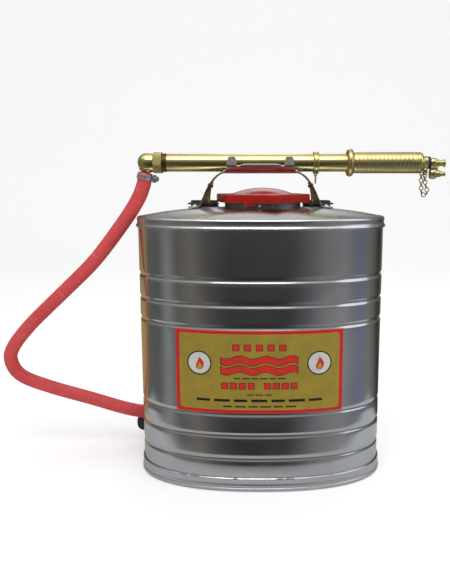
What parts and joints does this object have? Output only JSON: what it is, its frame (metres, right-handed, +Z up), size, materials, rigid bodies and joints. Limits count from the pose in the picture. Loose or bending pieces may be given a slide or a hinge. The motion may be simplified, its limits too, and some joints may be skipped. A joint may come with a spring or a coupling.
{
  "type": "backpack fire pump",
  "caption": "Kidney-shaped sheet-metal water tank worn on the back, with shoulder straps, a red hose and a brass trombone hand pump for wetting down fires.",
  "frame": {"origin": "on the ground, under the middle of the tank's base", "axes": "+X towards the pump's nozzle, -Y is the labelled front of the tank, +Y the wearer's back, +Z up"},
  "size_m": [0.7075, 0.2465, 0.5012],
  "materials": {
    "tank_metal": "satin mill-finish sheet with soft reflections",
    "grey_metal": "dull grey plated sheet",
    "brass": "polished, turned",
    "old_brass": "darkened",
    "zinc": "bright plated",
    "red_paint": "gloss red enamel",
    "red_hose": "satin salmon-red",
    "label_print": "printed sheet with a red border and an olive field",
    "black_rubber": "matt",
    "black_webbing": "woven webbing",
    "leather": "oiled"
  },
  "bodies": {
    "tank": {"tank_shell": "tank_metal", "tank_bottom": "tank_metal", "top_cover": "tank_metal", "filler_neck": "grey_metal", "neck_pin_front": "grey_metal", "neck_pin_rear": "grey_metal", "strainer": "brass", "label_plate": "label_print", "carry_handle": "tank_metal", "foot_rivet_left_front": "zinc", "foot_rivet_left_rear": "zinc", "foot_rivet_right_front": "zinc", "foot_rivet_right_rear": "zinc", "hanger_rivet_left": "zinc", "hanger_rivet_right": "zinc", "strap_hanger_left": "old_brass", "strap_hanger_right": "old_brass", "strap_loop_left": "zinc", "strap_loop_right": "zinc", "shoulder_strap_left": "black_webbing", "shoulder_strap_right": "black_webbing", "strap_slide_left": "zinc", "strap_slide_right": "zinc", "strap_bracket_left": "grey_metal", "strap_bracket_right": "grey_metal", "strap_ring_left": "zinc", "strap_ring_right": "zinc", "outlet_spud": "old_brass", "outlet_elbow": "brass", "hose": "red_hose", "clamp_band_lower": "zinc", "clamp_housing_lower": "zinc", "clamp_screw_lower": "zinc"},
    "cap_seal": {"cap_gasket": "black_rubber"},
    "cap": {"filler_cap": "red_paint"},
    "pump": {"inlet_elbow": "brass", "union_nut": "brass", "union_washer": "black_rubber", "barrel": "brass", "inlet_seat": "brass", "packing_ring": "leather", "packing_bush": "brass", "band_ring": "brass", "clamp_band_upper": "zinc", "clamp_housing_upper": "zinc", "clamp_screw_upper": "zinc"},
    "inlet_valve": {"inlet_ball": "zinc"},
    "hang_ring": {"hanging_ring": "brass"},
    "grip": {"grip_sleeve": "brass", "grip_end_cap": "brass", "plunger_tube": "brass", "piston": "brass", "cup_seal": "leather", "nozzle_gasket": "black_rubber"},
    "discharge_valve": {"discharge_ball": "zinc"},
    "nozzle": {"nozzle_head": "brass", "stream_tip": "brass", "spray_tip": "brass", "pivot_screw": "zinc"},
    "nozzle_chain": {"chain": "brass"}
  },
  "joints": [
    {"name": "pump_lift", "type": "slide", "parent": "tank", "child": "pump", "axis": [0, 0, 1], "range_m": [0, 0.06], "deforming": ["hose"]},
    {"name": "pump_stroke", "type": "slide", "parent": "pump", "child": "grip", "axis": [1, 0, 0], "range_m": [0, 0.24]},
    {"name": "inlet_check", "type": "slide", "parent": "pump", "child": "inlet_valve", "axis": [1, 0, 0], "range_m": [0, 0.003]},
    {"name": "discharge_check", "type": "slide", "parent": "grip", "child": "discharge_valve", "axis": [1, 0, 0], "range_m": [0, 0.003]},
    {"name": "nozzle_select", "type": "hinge", "parent": "grip", "child": "nozzle", "pos_m": [0.2593, -0.01, 0.472], "axis": [1, 0, 0], "range_deg": [0, 180]},
    {"name": "chain_swing", "type": "hinge", "parent": "grip", "child": "nozzle_chain", "pos_m": [0.24565, -0.01, 0.4596], "axis": [0.8848, 0, -0.4659], "range_deg": [-35, 35]},
    {"name": "hang_ring_swing", "type": "hinge", "parent": "pump", "child": "hang_ring", "pos_m": [0.083, -0.01, 0.4626], "axis": [0, 1, 0], "range_deg": [-75, 12]},
    {"name": "cap_lift", "type": "slide", "parent": "tank", "child": "cap_seal", "axis": [0, 0, 1], "range_m": [0, 0.008]},
    {"name": "cap_turn", "type": "hinge", "parent": "cap_seal", "child": "cap", "pos_m": [0.003, -0.01, 0.43], "axis": [0, 0, 1], "range_deg": [-150, 0]}
  ]
}
